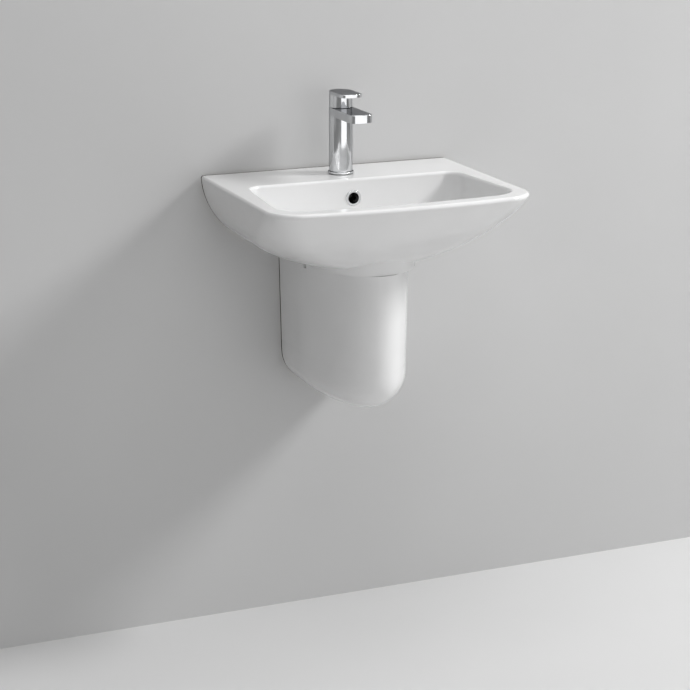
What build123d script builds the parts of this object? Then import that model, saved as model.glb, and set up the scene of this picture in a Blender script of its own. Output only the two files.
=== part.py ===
from build123d import *
import math
import os

os.makedirs("parts", exist_ok=True)

# Wall-hung washbasin with a semi-pedestal, a single-lever mixer tap, a click waste and a bottle trap.
# Millimetres, +Z up, +Y into the wall. The origin lies on the wall midway between the basin's two bolts.

# Basin, outside
basin_width = 500.0
basin_depth = 412.0
rim_height = 85.0
front_bow = 12.0
rim_corner = 56.0
rim_rounding = 5.0
shell_drop = 145.6
side_power = 1.89
front_power = 1.2
keel_reach = 240.0
keel_corner_x = 96.0
keel_corner_y = 224.0
corner_growth = 0.6

# Foot collar under the bowl
foot_width = 196.0
foot_reach = 281.0
foot_nose = 112.0
foot_drop = 150.0
collar_wall = 12.0

# Bowl
bowl_setback = 132.0
rear_side_rim = 43.0
front_side_rim = 28.0
front_rim = 36.0
bowl_wall = 18.0
bowl_rear_corner_share = 0.123
bowl_front_corner_share = 0.2
bowl_front_corner = 48.0
bowl_bow = 8.0
bowl_drop = 114.0
bowl_power = 3.0
bowl_rear_turn = 46.0
bowl_side_turn = 46.0
bowl_front_turn = 16.0
floor_corner_x = 87.0
floor_rear_corner_share = 0.49
floor_front_corner_share = 0.4

# Service space behind and under the bowl
deck_thickness = 20.0
flange_thickness = 16.0
fixing_clearance = 10.0
rear_wall = 14.0
cavity_knee_drop = 70.0
cavity_knee_lean = 6.0
cavity_foot_lean = 32.0
floor_underside_drop = 135.0
pipe_opening_drop = 45.0

# Overflow
overflow_drop = 36.0
overflow_radius = 12.2
overflow_ring_radius = 14.8
overflow_ring_bore = 10.6
overflow_ring_lip = 2.5
overflow_ring_length = 10.0
overflow_seat_depth = 1.0
duct_inset = 3.0
duct_half_width = 14.0
duct_depth = 12.0
duct_wall = 7.0
duct_outlet_height = 8.0
duct_floor = 3.0

# Semi-pedestal
pedestal_gap = 0.5
pedestal_height = 269.0
pedestal_lip = 2.0
pedestal_side_taper = 4.0
pedestal_front_taper = 2.0
pedestal_nose = 187.0
pedestal_bend = 70.0
pedestal_lead = 0.1
pedestal_side_turn = 66.0
pedestal_front_turn = 94.0
pedestal_wall = 9.0
notch_width = 12.0
notch_depth = 10.0
notch_setback = 130.0
lug_half_width = 16.0
lug_height = 40.0
lug_thickness = 14.0
pedestal_bolt_drop = 250.0
pedestal_bolt_spacing = 136.0

# Wall bolts: depth in the wall, then the stack from the wall to the bolt's end
fixing_spacing = 280.0
fixing_hole_radius = 9.0
fixing_bolt_radius = 5.0
fixing_shank_radius = 4.6
fixing_embed = 70.0
sleeve_flange_radius = 14.0
sleeve_flange_thickness = 3.0
fixing_washer_radius = 15.0
fixing_washer_thickness = 2.5
fixing_nut_flats = 17.0
fixing_nut_height = 8.0
pedestal_hole_radius = 5.0
pedestal_bolt_radius = 4.0
pedestal_shank_radius = 3.6
pedestal_embed = 50.0
pedestal_washer_radius = 11.0
pedestal_washer_thickness = 1.6
pedestal_nut_flats = 13.0
pedestal_nut_height = 6.5
bolt_tip = 8.0
bolt_end = 9.0
bolt_chamfer = 1.0

# Tap, with heights above the deck
tap_setback = 71.0
tap_hole_radius = 17.5
shank_radius = 16.2
shank_length = 8.0
base_radius = 24.0
base_seal_radius = 22.5
base_seal_height = 1.5
base_ring_height = 3.5
base_groove = 1.2
tap_neck_radius = 20.0
tap_radius = 21.7
tap_height = 124.0
spout_reach = 106.0
spout_thickness = 15.0
spout_nose_bow = 4.0
spout_corner = 11.0
tap_edge = 1.2
waterway_radius = 4.0
aerator_setback = 86.0
aerator_radius = 10.5
aerator_pocket = 8.0
aerator_height = 7.0
aerator_proud = 1.0
aerator_wall = 1.6
aerator_insert_height = 3.0
aerator_hole_radius = 0.9
aerator_ring_radius = 5.6
aerator_ring_holes = 12
pocket_radius = 17.6
pocket_depth = 36.0
nut_seat_radius = 18.6
inlet_radius = 4.5
inlet_length = 14.0
inlet_spacing = 17.0
inlet_offset = 5.0
stud_offset = 10.5
stud_radius = 4.0
stud_hold = 12.0
stud_length = 74.0
stud_clearance = 0.3

# Cartridge, from the pocket's floor up
cartridge_seal_height = 1.5
cartridge_seal_radius = 15.0
cartridge_radius = 15.5
cartridge_collar_radius = 17.5
cartridge_collar_height = 3.0
cartridge_base_height = 4.0
fixed_disc_height = 6.0
moving_disc_radius = 7.0
moving_disc_height = 6.6
disc_gap = 0.3
disc_socket = 6.4
disc_socket_depth = 3.5
port_radius = 2.6
outlet_port_offset = 8.5
rotor_radius = 13.4
rotor_chamber_radius = 11.6
rotor_roof = 6.0
running_gap = 0.05
neck_radius = 9.5
neck_height = 9.0
neck_gap = 0.3
pivot_below_top = 6.0
pivot_radius = 1.5
pivot_pin_length = 18.4
stem_side = 7.0
stem_gap = 0.3
stem_arm = 12.0
stem_neck_radius = 2.0
stem_neck_length = 3.0
stem_ball_radius = 2.8
rotor_slot_length = 16.0
ring_nut_height = 4.0
ring_nut_bore = 10.5
ring_nut_slot = 4.0
ring_nut_recess = 0.5
bonnet_radius = 16.0
bonnet_bore = 13.0
bonnet_height = 2.8

# Lever
lever_lift = 20.0
lever_gap = 1.0
lever_clearance = 0.8
hub_radius = 21.3
hub_bore = 17.8
lever_top = 154.5
lever_thickness = 6.0
hub_roof = 5.5
lever_reach = 59.0
lever_tip_bow = 4.0
lever_corner = 11.0
lever_edge = 1.0
boss_radius = 8.0
boss_height = 15.5
socket_depth = 15.0
grub_radius = 2.5
grub_length = 8.0
grub_rise = 8.5
hole_plug_radius = 3.0

# Clamp under the deck
horseshoe_radius = 26.0
horseshoe_slot_half = 14.0
horseshoe_slot_end = 3.0
gasket_thickness = 3.0
plate_thickness = 2.5
stud_nut_flats = 13.0
stud_nut_height = 18.0

# Click waste
waste_lead = 66.0
waste_hole_radius = 23.0
waste_seat_radius = 33.0
waste_seat_depth = 4.0
waste_seal_height = 2.0
waste_flange_radius = 31.5
waste_flange_height = 2.5
waste_tail_radius = 20.9
waste_bore_radius = 17.0
waste_tail_length = 78.0
overflow_window = 13.0
lower_seal_radius = 30.0
lower_seal_height = 6.0
back_nut_radius = 31.0
back_nut_height = 10.0
back_nut_sides = 8
bridge_width = 7.0
bridge_height = 6.0
bridge_drop = 16.0
bridge_root = 0.8
bridge_hub_radius = 9.5
click_radius = 6.5
click_height = 26.0
click_below_bridge = 16.0
click_floor = 1.2
plug_stem_radius = 4.0
plug_stem_length = 40.0
plug_stem_hold = 2.5
plug_travel = 8.0
plug_cap_radius = 30.0
plug_cap_edge = 3.5
plug_crown = 3.0
plug_crown_share = 0.8
plug_closed_gap = 0.6
plug_seal_section = 1.6
plug_seal_radius = 20.0
plug_seal_proud = 0.3

# Bottle trap
trap_nut_radius = 27.0
trap_nut_sides = 12
inlet_nut_overlap = 16.0
trap_nut_lip = 4.0
trap_washer_height = 2.5
dip_radius = 16.0
dip_wall = 1.6
dip_gap = 0.3
dip_flange_radius = 20.0
dip_flange_height = 2.5
dip_length = 96.0
trap_drop = 45.0
trap_neck_radius = 21.5
trap_neck_height = 12.0
top_nut_overlap = 10.0
trap_seal_height = 5.0
trap_seal_radius = 19.5
trap_body_radius = 33.0
trap_body_height = 68.0
trap_wall = 2.8
branch_radius = 19.5
branch_bore = 14.7
branch_length = 62.0
branch_drop = 24.0
pipe_radius = 16.0
pipe_gap = 0.15
pipe_socket = 20.0
outlet_nut_overlap = 12.0
outlet_nut_radius = 25.0
cup_radius = 36.0
cup_bore = 31.0
cup_height = 44.0
cup_overlap = 14.0
cup_floor = 3.0
cup_corner = 8.0
cup_seal_height = 2.0
cup_grip_width = 3.0
cup_grip_depth = 1.4
cup_grip_count = 14

# Places worked out from the sizes above
QUARTER = 4 / 3 * (math.sqrt(2) - 1)
rim_z = rim_height
pipe_opening_half = foot_width / 2 - collar_wall
foot_z = rim_z - foot_drop
floor_underside_z = rim_z - floor_underside_drop
pedestal_top_z = foot_z - pedestal_gap
pedestal_bottom_z = pedestal_top_z - pedestal_height
pedestal_bolt_z = rim_z - pedestal_bolt_drop
pedestal_top_half = foot_width / 2
pedestal_low_half = pedestal_top_half - pedestal_side_taper
pedestal_reach = foot_reach + pedestal_lip
pedestal_low_reach = pedestal_reach - pedestal_front_taper
waste_setback = foot_reach - waste_lead
cavity_half_width = fixing_spacing / 2 + fixing_washer_radius + fixing_clearance


def between(start, end, share):
    """Value a share of the way from start to end."""
    return start + (end - start) * share


def turned_in(down, power):
    """Share moved in along a rounded profile, at a share of its drop."""
    return 1 - max(1 - down**power, 0) ** (1 / power)


def arc_share(angle, power):
    """Share of a rounded profile's drop that is reached at an angle from 0 to 90 degrees."""
    return math.sin(math.radians(angle)) ** (2 / power)


def tap_level(height):
    """Level plane on the tap's axis, at a height above the deck."""
    return Plane((0, -tap_setback, rim_z + height))


def tap_side():
    """Upright plane through the tap's axis, seen from the right: local x runs to the wall, local y up."""
    return Plane((0, -tap_setback, rim_z), x_dir=(0, 1, 0), z_dir=(1, 0, 0))


def grub_plane(setback):
    """Upright plane across the grub screw's axis, at a distance behind the tap's axis."""
    return Plane((0, setback - tap_setback, rim_z + boss_foot + grub_rise), x_dir=(-1, 0, 0), z_dir=(0, 1, 0))


def waste_level(z):
    """Level plane on the waste's axis."""
    return Plane((0, -waste_setback, z))


def waste_front(z):
    """Upright plane through the waste's axis, seen from the front."""
    return Plane((0, -waste_setback, z), x_dir=(1, 0, 0), z_dir=(0, -1, 0))


def disc(plane, radius):
    """Flat disc on a plane."""
    with BuildSketch(plane) as face:
        Circle(radius)
    return face.sketch


def annulus(plane, outer_radius, inner_radius):
    """Flat ring on a plane."""
    with BuildSketch(plane) as ring:
        Circle(outer_radius)
        Circle(inner_radius, mode=Mode.SUBTRACT)
    return ring.sketch


def nut_face(plane, outer_radius, sides, bore):
    """Flat ring with straight outer sides, for a nut."""
    with BuildSketch(plane) as face:
        RegularPolygon(outer_radius, sides, major_radius=False)
        Circle(bore, mode=Mode.SUBTRACT)
    return face.sketch


def pair_places(spacing, z):
    """Two places side by side, at the same second coordinate."""
    return [(-spacing / 2, z), (spacing / 2, z)]


def pair_faces(distance_from_wall, spacing, z, radius, bore):
    """Two flat rings side by side, facing the wall."""
    with BuildSketch(Plane.XZ.offset(distance_from_wall)) as faces:
        with Locations(*pair_places(spacing, z)):
            Circle(radius)
            Circle(bore, mode=Mode.SUBTRACT)
    return faces.sketch


def mirrored(point):
    """The same point on the left half."""
    return Vector(-point.X, point.Y)


def corner_points(start, start_direction, end, end_direction, start_reach, end_reach):
    """Control points of a corner that leaves one line and joins the next without a kink."""
    leave = start + start_direction * (QUARTER * start_reach)
    join = end + end_direction * (QUARTER * end_reach)
    return [start, leave, join, end]


def shell_section(drop):
    """Level outline of the basin: straight on the wall, bowed in front, with rounder corners further down."""
    down = drop / shell_drop
    side_in = turned_in(down, side_power)
    half_width = between(basin_width / 2, foot_width / 2, side_in)
    depth = between(basin_depth, keel_reach, turned_in(down, front_power))
    corner_x = between(rim_corner, keel_corner_x, side_in**corner_growth)
    corner_y = between(rim_corner, keel_corner_y, side_in**corner_growth)
    bow = front_bow * (1 - side_in)
    wall_end = Vector(half_width, 0)
    side_end = Vector(half_width, corner_y - depth + bow)
    front_end = Vector(half_width - corner_x, bow - depth)
    front_middle = Vector(0, -bow - depth)
    front_direction = (front_end - front_middle).normalized()
    corner = corner_points(side_end, Vector(0, -1), front_end, front_direction, corner_y, corner_x)
    with BuildSketch(Plane.XY.offset(rim_z - drop)) as section:
        with BuildLine():
            Line(mirrored(wall_end), wall_end)
            Line(wall_end, side_end)
            Bezier(*corner)
            Bezier(front_end, front_middle, mirrored(front_end))
            Bezier(*[mirrored(point) for point in reversed(corner)])
            Line(mirrored(side_end), mirrored(wall_end))
        make_face()
    return section.sketch


def bowl_section(drop, share):
    """Level outline of the bowl, inside the basin's outline at that drop, at a share of the bowl's turn."""
    down = drop / shell_drop
    inward = turned_in(share, bowl_power)
    thin = (1 - share) ** 2
    shell_half = between(basin_width / 2, foot_width / 2, turned_in(down, side_power))
    shell_depth = between(basin_depth, keel_reach, turned_in(down, front_power))
    rear = bowl_setback + bowl_rear_turn * inward
    front = shell_depth - between(bowl_wall, front_rim, thin) - bowl_front_turn * inward
    rear_half = shell_half - between(bowl_wall, rear_side_rim, thin) - bowl_side_turn * inward
    front_half = shell_half - between(bowl_wall, front_side_rim, thin) - bowl_side_turn * inward
    rear_corner = between(bowl_rear_corner_share, floor_rear_corner_share, inward) * (front - rear)
    corner_x = between(bowl_front_corner, floor_corner_x, share)
    corner_y = between(bowl_front_corner_share, floor_front_corner_share, share) * (front - rear)
    bow = bowl_bow * (1 - inward)
    rear_end = Vector(rear_half - rear_corner, -rear)
    side_start = Vector(rear_half, -rear - rear_corner)
    side_end = Vector(front_half, corner_y - front + bow)
    front_end = Vector(front_half - corner_x, bow - front)
    front_middle = Vector(0, -bow - front)
    side_direction = (side_end - side_start).normalized()
    front_direction = (front_end - front_middle).normalized()
    back_corner = corner_points(
        rear_end,
        Vector(1, 0),
        side_start,
        -side_direction,
        rear_corner,
        rear_corner,
    )
    corner = corner_points(side_end, side_direction, front_end, front_direction, corner_y, corner_x)
    with BuildSketch(Plane.XY.offset(rim_z - drop)) as section:
        with BuildLine():
            Line(mirrored(rear_end), rear_end)
            Bezier(*back_corner)
            Line(side_start, side_end)
            Bezier(*corner)
            Bezier(front_end, front_middle, mirrored(front_end))
            Bezier(*[mirrored(point) for point in reversed(corner)])
            Line(mirrored(side_end), mirrored(side_start))
            Bezier(*[mirrored(point) for point in reversed(back_corner)])
        make_face()
    return section.sketch


def nose_section(z, half_width, reach, nose, back):
    """Level outline of the foot and the pedestal: straight sides from the wall and an elliptical nose."""
    with BuildSketch(Plane.XY.offset(z)) as section:
        with BuildLine():
            Line((half_width, back), (-half_width, back))
            Line((-half_width, back), (-half_width, nose - reach))
            EllipticalCenterArc((0, nose - reach), half_width, nose, start_angle=180, arc_size=180)
            Line((half_width, nose - reach), (half_width, back))
        make_face()
    return section.sketch


def pedestal_straight(share, inset, back):
    """Outline of the pedestal at a share of its straight part, moved in by a wall."""
    z = between(pedestal_top_z, pedestal_bottom_z + pedestal_bend, share)
    half_width = between(pedestal_top_half, pedestal_low_half, share) - inset
    reach = between(pedestal_reach, pedestal_low_reach, share) - inset
    return nose_section(z, half_width, reach, pedestal_nose - inset, back)


def pedestal_turn(angle, inset, back):
    """Outline of the pedestal at an angle around its rounded bottom, moved in by a wall."""
    down = math.sin(math.radians(angle))
    inward = 1 - math.cos(math.radians(angle))
    wall = inset * (1 - inward)
    z = between(pedestal_bottom_z + pedestal_bend, pedestal_bottom_z + inset, down)
    half_width = pedestal_low_half - pedestal_side_turn * inward - wall
    reach = pedestal_low_reach - pedestal_front_turn * inward - wall
    nose = pedestal_nose - pedestal_front_turn * inward / 2 - wall
    return nose_section(z, half_width, reach, nose, back)


def pedestal_form(inset, back):
    """Solid form of the pedestal, moved in by a wall: a straight part and a rounded bottom."""
    lead_in = pedestal_straight(1 - pedestal_lead, inset, back)
    with BuildPart() as form:
        loft(sections=[pedestal_straight(0, inset, back), lead_in], ruled=True)
        loft(
            sections=[lead_in] + [pedestal_turn(angle, inset, back) for angle in (0, 18, 36, 54, 72, 90)],
        )
    return form.part


# Service space behind the bowl, cut around the overflow's boss
cavity_top_z = rim_z - deck_thickness
cavity_front = bowl_setback - rear_wall
cavity_knee_z = rim_z - cavity_knee_drop
cavity_foot = cavity_front + cavity_foot_lean
duct_front = cavity_front + duct_inset
duct_rear = duct_front - duct_depth
boss_rear = duct_rear - duct_wall
with BuildPart() as service_space:
    with BuildSketch(Plane.YZ):
        with BuildLine():
            Polyline(
                (-flange_thickness, cavity_top_z),
                (-cavity_front, cavity_top_z),
                (-cavity_front - cavity_knee_lean, cavity_knee_z),
                (-cavity_foot, floor_underside_z),
                (-cavity_foot, foot_z),
                (-flange_thickness, foot_z),
                close=True,
            )
        make_face()
    extrude(amount=cavity_half_width, both=True)
    with BuildSketch(Plane.XZ):
        with BuildLine():
            Line((-cavity_half_width, cavity_top_z), (cavity_half_width, cavity_top_z))
            for side in (-1, 1):
                Line((side * cavity_half_width, cavity_top_z), (side * cavity_half_width, cavity_knee_z))
                Bezier(
                    (side * cavity_half_width, cavity_knee_z),
                    (side * cavity_half_width, floor_underside_z),
                    (side * pipe_opening_half, floor_underside_z),
                )
                Line((side * pipe_opening_half, floor_underside_z), (side * pipe_opening_half, foot_z))
            Line((-pipe_opening_half, foot_z), (pipe_opening_half, foot_z))
        make_face()
    extrude(amount=basin_depth, mode=Mode.INTERSECT)
    with BuildSketch(Plane.XY.offset(floor_underside_z)):
        with Locations((0, -boss_rear)):
            Rectangle(2 * (duct_half_width + duct_wall), basin_depth, align=(Align.CENTER, Align.MAX))
    extrude(amount=floor_underside_drop, mode=Mode.SUBTRACT)

# Basin: shell, foot collar, bowl, service space, holes and the overflow's duct
seat_z = rim_z - bowl_drop - waste_seat_depth
overflow_z = rim_z - overflow_drop
duct_low_z = floor_underside_z + duct_floor
shell_shares = [arc_share(angle, side_power) for angle in (0, 9, 19, 31, 44, 57, 70, 81)]
bowl_shares = [arc_share(angle, bowl_power) for angle in (0, 14, 28, 42, 56, 69, 80)]
overflow_share = overflow_drop / bowl_drop * bowl_shares[-1]
overflow_face = bowl_setback + bowl_rear_turn * turned_in(overflow_share, bowl_power)
ring_seat = overflow_face - overflow_seat_depth
with BuildPart() as basin:
    loft(sections=[shell_section(shell_drop * share) for share in shell_shares])
    extrude(nose_section(foot_z, foot_width / 2, foot_reach, foot_nose, 0), amount=foot_drop - bowl_drop)
    loft(
        sections=[bowl_section(bowl_drop * share / bowl_shares[-1], share) for share in bowl_shares],
        mode=Mode.SUBTRACT,
    )
    rim_face = basin.faces().sort_by(Axis.Z)[-1]
    fillet([edge for edge in rim_face.edges() if edge.center().Y < -rim_rounding], rim_rounding)
    add(service_space.part, mode=Mode.SUBTRACT)
    extrude(
        nose_section(
            foot_z,
            foot_width / 2 - collar_wall,
            foot_reach - collar_wall,
            foot_nose - collar_wall,
            0,
        ),
        amount=foot_drop - floor_underside_drop,
        mode=Mode.SUBTRACT,
    )
    with BuildSketch(Plane.XZ):
        with Locations((0, rim_z - pipe_opening_drop)):
            Rectangle(2 * pipe_opening_half, foot_drop, align=(Align.CENTER, Align.MAX))
    extrude(amount=flange_thickness, mode=Mode.SUBTRACT)
    with BuildSketch(Plane.XZ):
        with Locations(*pair_places(fixing_spacing, 0)):
            Circle(fixing_hole_radius)
    extrude(amount=flange_thickness, mode=Mode.SUBTRACT)
    extrude(disc(tap_level(-deck_thickness), tap_hole_radius), amount=deck_thickness, mode=Mode.SUBTRACT)
    extrude(disc(waste_level(seat_z), waste_seat_radius), amount=2 * waste_seat_depth, mode=Mode.SUBTRACT)
    extrude(
        disc(waste_level(floor_underside_z), waste_hole_radius),
        amount=seat_z - floor_underside_z,
        mode=Mode.SUBTRACT,
    )
    with BuildSketch(Plane.XZ.offset(duct_rear)):
        with Locations((0, overflow_z)):
            Circle(overflow_radius)
    extrude(amount=overflow_face - duct_rear + overflow_radius, mode=Mode.SUBTRACT)
    with BuildSketch(Plane.XZ.offset(ring_seat)):
        with Locations((0, overflow_z)):
            Circle(overflow_ring_radius + running_gap)
    extrude(amount=overflow_radius, mode=Mode.SUBTRACT)
    with BuildSketch(Plane.XZ.offset(duct_rear)):
        with Locations((0, duct_low_z)):
            Rectangle(
                2 * duct_half_width,
                overflow_z + overflow_radius - duct_low_z,
                align=(Align.CENTER, Align.MIN),
            )
    extrude(amount=duct_depth, mode=Mode.SUBTRACT)
    with BuildSketch(Plane.XZ.offset(duct_front)):
        with Locations((0, duct_low_z)):
            Rectangle(2 * duct_half_width, duct_outlet_height, align=(Align.CENTER, Align.MIN))
    extrude(amount=waste_setback - duct_front, mode=Mode.SUBTRACT)
basin.part.label = "basin"
export_step(basin.part, "parts/basin.step")

# Overflow ring, pressed into the bowl's back wall
with BuildPart() as overflow_ring:
    with BuildSketch(Plane.XZ.offset(ring_seat)):
        with Locations((0, overflow_z)):
            Circle(overflow_ring_radius)
    extrude(amount=overflow_ring_lip)
    fillet(overflow_ring.faces().sort_by(Axis.Y)[0].edges(), overflow_ring_lip / 2)
    with BuildSketch(Plane.XZ.offset(ring_seat - overflow_ring_length)):
        with Locations((0, overflow_z)):
            Circle(overflow_radius)
    extrude(amount=overflow_ring_length)
    with BuildSketch(Plane.XZ.offset(ring_seat - overflow_ring_length)):
        with Locations((0, overflow_z)):
            Circle(overflow_ring_bore)
    extrude(amount=overflow_ring_length + overflow_ring_lip, mode=Mode.SUBTRACT)
overflow_ring.part.label = "overflow_ring"
export_step(overflow_ring.part, "parts/overflow_ring.step")

# Semi-pedestal: a shell open at the top and the wall, with two bolt lugs inside
with BuildPart() as semi_pedestal:
    add(pedestal_form(0, 0))
    add(pedestal_form(pedestal_wall, pedestal_wall), mode=Mode.SUBTRACT)
    lug_inner = pedestal_bolt_spacing / 2 - lug_half_width
    lug_outer = pedestal_low_half - pedestal_wall / 2
    with BuildSketch(Plane.XZ):
        for side in (-1, 1):
            with Locations((side * (lug_inner + lug_outer) / 2, pedestal_bolt_z)):
                Rectangle(lug_outer - lug_inner, lug_height)
    extrude(amount=lug_thickness)
    with BuildSketch(Plane.XZ):
        with Locations(*pair_places(pedestal_bolt_spacing, pedestal_bolt_z)):
            Circle(pedestal_hole_radius)
    extrude(amount=lug_thickness, mode=Mode.SUBTRACT)
    with BuildSketch(Plane.YZ):
        with Locations((-notch_setback, pedestal_top_z)):
            Rectangle(notch_width, notch_depth, align=(Align.CENTER, Align.MAX))
    extrude(amount=pedestal_top_half, both=True, mode=Mode.SUBTRACT)
semi_pedestal.part.label = "semi_pedestal"
export_step(semi_pedestal.part, "parts/semi_pedestal.step")


def wall_bolt(embed, thread_radius, shank_radius, shank_length, end_length):
    """Hanger bolt on the Y axis: pointed in the wall, plain through the ceramic, threaded for the nut."""
    with BuildPart() as bolt:
        with BuildSketch(Plane.XY):
            with BuildLine():
                Polyline(
                    (0, embed),
                    (thread_radius / 3, embed),
                    (thread_radius, embed - bolt_tip),
                    (thread_radius, 0),
                    (shank_radius, 0),
                    (shank_radius, -shank_length - end_length),
                    (shank_radius - bolt_chamfer, -shank_length - end_length - bolt_chamfer),
                    (0, -shank_length - end_length - bolt_chamfer),
                    close=True,
                )
            make_face()
        revolve(axis=Axis.Y)
    return bolt.part


# Basin fixings: bolts, sleeves in the holes, washers and nuts
sleeve_end = flange_thickness + sleeve_flange_thickness
fixing_washer_end = sleeve_end + fixing_washer_thickness
fixing_nut_end = fixing_washer_end + fixing_nut_height
with BuildPart() as basin_bolts:
    with Locations((-fixing_spacing / 2, 0, 0), (fixing_spacing / 2, 0, 0)):
        add(wall_bolt(fixing_embed, fixing_bolt_radius, fixing_shank_radius, fixing_nut_end, bolt_end))
basin_bolts.part.label = "basin_bolts"
export_step(basin_bolts.part, "parts/basin_bolts.step")

with BuildPart() as basin_sleeves:
    extrude(
        pair_faces(0, fixing_spacing, 0, fixing_hole_radius, fixing_shank_radius),
        amount=flange_thickness,
    )
    extrude(
        pair_faces(flange_thickness, fixing_spacing, 0, sleeve_flange_radius, fixing_shank_radius),
        amount=sleeve_flange_thickness,
    )
basin_sleeves.part.label = "basin_sleeves"
export_step(basin_sleeves.part, "parts/basin_sleeves.step")

with BuildPart() as basin_washers:
    extrude(
        pair_faces(sleeve_end, fixing_spacing, 0, fixing_washer_radius, fixing_shank_radius),
        amount=fixing_washer_thickness,
    )
basin_washers.part.label = "basin_washers"
export_step(basin_washers.part, "parts/basin_washers.step")

with BuildPart() as basin_nuts:
    with BuildSketch(Plane.XZ.offset(fixing_washer_end)):
        with Locations(*pair_places(fixing_spacing, 0)):
            RegularPolygon(fixing_nut_flats / 2, 6, major_radius=False)
            Circle(fixing_shank_radius, mode=Mode.SUBTRACT)
    extrude(amount=fixing_nut_height)
basin_nuts.part.label = "basin_nuts"
export_step(basin_nuts.part, "parts/basin_nuts.step")

# Pedestal fixings: bolts, washers and nuts
pedestal_washer_end = lug_thickness + pedestal_washer_thickness
pedestal_nut_end = pedestal_washer_end + pedestal_nut_height
with BuildPart() as pedestal_bolts:
    with Locations(
        (-pedestal_bolt_spacing / 2, 0, pedestal_bolt_z),
        (pedestal_bolt_spacing / 2, 0, pedestal_bolt_z),
    ):
        add(
            wall_bolt(
                pedestal_embed,
                pedestal_bolt_radius,
                pedestal_shank_radius,
                pedestal_nut_end,
                bolt_end,
            ),
        )
pedestal_bolts.part.label = "pedestal_bolts"
export_step(pedestal_bolts.part, "parts/pedestal_bolts.step")

with BuildPart() as pedestal_washers:
    extrude(
        pair_faces(
            lug_thickness,
            pedestal_bolt_spacing,
            pedestal_bolt_z,
            pedestal_washer_radius,
            pedestal_shank_radius,
        ),
        amount=pedestal_washer_thickness,
    )
pedestal_washers.part.label = "pedestal_washers"
export_step(pedestal_washers.part, "parts/pedestal_washers.step")

with BuildPart() as pedestal_nuts:
    with BuildSketch(Plane.XZ.offset(pedestal_washer_end)):
        with Locations(*pair_places(pedestal_bolt_spacing, pedestal_bolt_z)):
            RegularPolygon(pedestal_nut_flats / 2, 6, major_radius=False)
            Circle(pedestal_shank_radius, mode=Mode.SUBTRACT)
    extrude(amount=pedestal_nut_height)
pedestal_nuts.part.label = "pedestal_nuts"
export_step(pedestal_nuts.part, "parts/pedestal_nuts.step")

# Tap base: seal on the deck and the ring above it
base_top = base_seal_height + base_ring_height
with BuildPart() as tap_base_seal:
    extrude(annulus(tap_level(0), base_seal_radius, shank_radius), amount=base_seal_height)
tap_base_seal.part.label = "tap_base_seal"
export_step(tap_base_seal.part, "parts/tap_base_seal.step")

with BuildPart() as tap_base_ring:
    extrude(disc(tap_level(base_seal_height), base_radius), amount=base_ring_height)
    fillet(tap_base_ring.faces().sort_by(Axis.Z)[-1].edges(), base_ring_height / 3)
    extrude(disc(tap_level(base_seal_height), shank_radius), amount=base_ring_height, mode=Mode.SUBTRACT)
tap_base_ring.part.label = "tap_base_ring"
export_step(tap_base_ring.part, "parts/tap_base_ring.step")

# Tap body: shank, column and flat spout, with the cartridge's pocket and the waterways inside
spout_underside = tap_height - spout_thickness
spout_middle = tap_height - spout_thickness / 2
pocket_floor = tap_height - pocket_depth
nut_seat = tap_height - ring_nut_height - ring_nut_recess
with BuildPart() as tap_body:
    extrude(disc(tap_level(-shank_length), shank_radius), amount=shank_length + base_top)
    extrude(disc(tap_level(base_top), tap_neck_radius), amount=base_groove)
    extrude(disc(tap_level(base_top + base_groove), tap_radius), amount=tap_height - base_top - base_groove)
    with BuildSketch(tap_level(spout_underside)) as spout_plan:
        with BuildLine():
            Line((tap_radius, 0), (tap_radius, spout_nose_bow - spout_reach))
            ThreePointArc(
                (tap_radius, spout_nose_bow - spout_reach),
                (0, -spout_reach),
                (-tap_radius, spout_nose_bow - spout_reach),
            )
            Line((-tap_radius, spout_nose_bow - spout_reach), (-tap_radius, 0))
            Line((-tap_radius, 0), (tap_radius, 0))
        make_face()
        fillet(spout_plan.vertices().group_by(Axis.Y)[0], spout_corner)
    extrude(amount=spout_thickness)
    fillet(tap_body.faces().sort_by(Axis.Z)[-1].edges(), tap_edge)
    extrude(disc(tap_level(pocket_floor), pocket_radius), amount=pocket_depth, mode=Mode.SUBTRACT)
    extrude(disc(tap_level(nut_seat), nut_seat_radius), amount=pocket_depth, mode=Mode.SUBTRACT)
    with BuildSketch(tap_level(-shank_length)):
        with Locations(*pair_places(inlet_spacing, -inlet_offset)):
            Circle(waterway_radius)
    extrude(amount=shank_length + pocket_floor, mode=Mode.SUBTRACT)
    with BuildSketch(tap_level(-shank_length)):
        with Locations(*pair_places(inlet_spacing, -inlet_offset)):
            Circle(inlet_radius)
    extrude(amount=inlet_length, mode=Mode.SUBTRACT)
    with BuildSketch(tap_level(-shank_length)):
        with Locations((0, stud_offset)):
            Circle(stud_radius)
    extrude(amount=stud_hold, mode=Mode.SUBTRACT)
    with BuildSketch(Plane((0, -tap_setback, rim_z + spout_middle), x_dir=(1, 0, 0), z_dir=(0, -1, 0))):
        Circle(waterway_radius)
    extrude(amount=aerator_setback, mode=Mode.SUBTRACT)
    with BuildSketch(tap_level(spout_underside)):
        with Locations((0, -aerator_setback)):
            Circle(aerator_radius)
    extrude(amount=aerator_pocket, mode=Mode.SUBTRACT)
tap_body.part.label = "tap_body"
export_step(tap_body.part, "parts/tap_body.step")

# Aerator: housing in the spout's pocket and the perforated insert in it
aerator_foot = spout_underside - aerator_proud
aerator_bore = aerator_radius - aerator_wall
with BuildPart() as aerator_housing:
    with BuildSketch(tap_level(aerator_foot)):
        with Locations((0, -aerator_setback)):
            Circle(aerator_radius)
            Circle(aerator_bore, mode=Mode.SUBTRACT)
    extrude(amount=aerator_height)
aerator_housing.part.label = "aerator_housing"
export_step(aerator_housing.part, "parts/aerator_housing.step")

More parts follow.
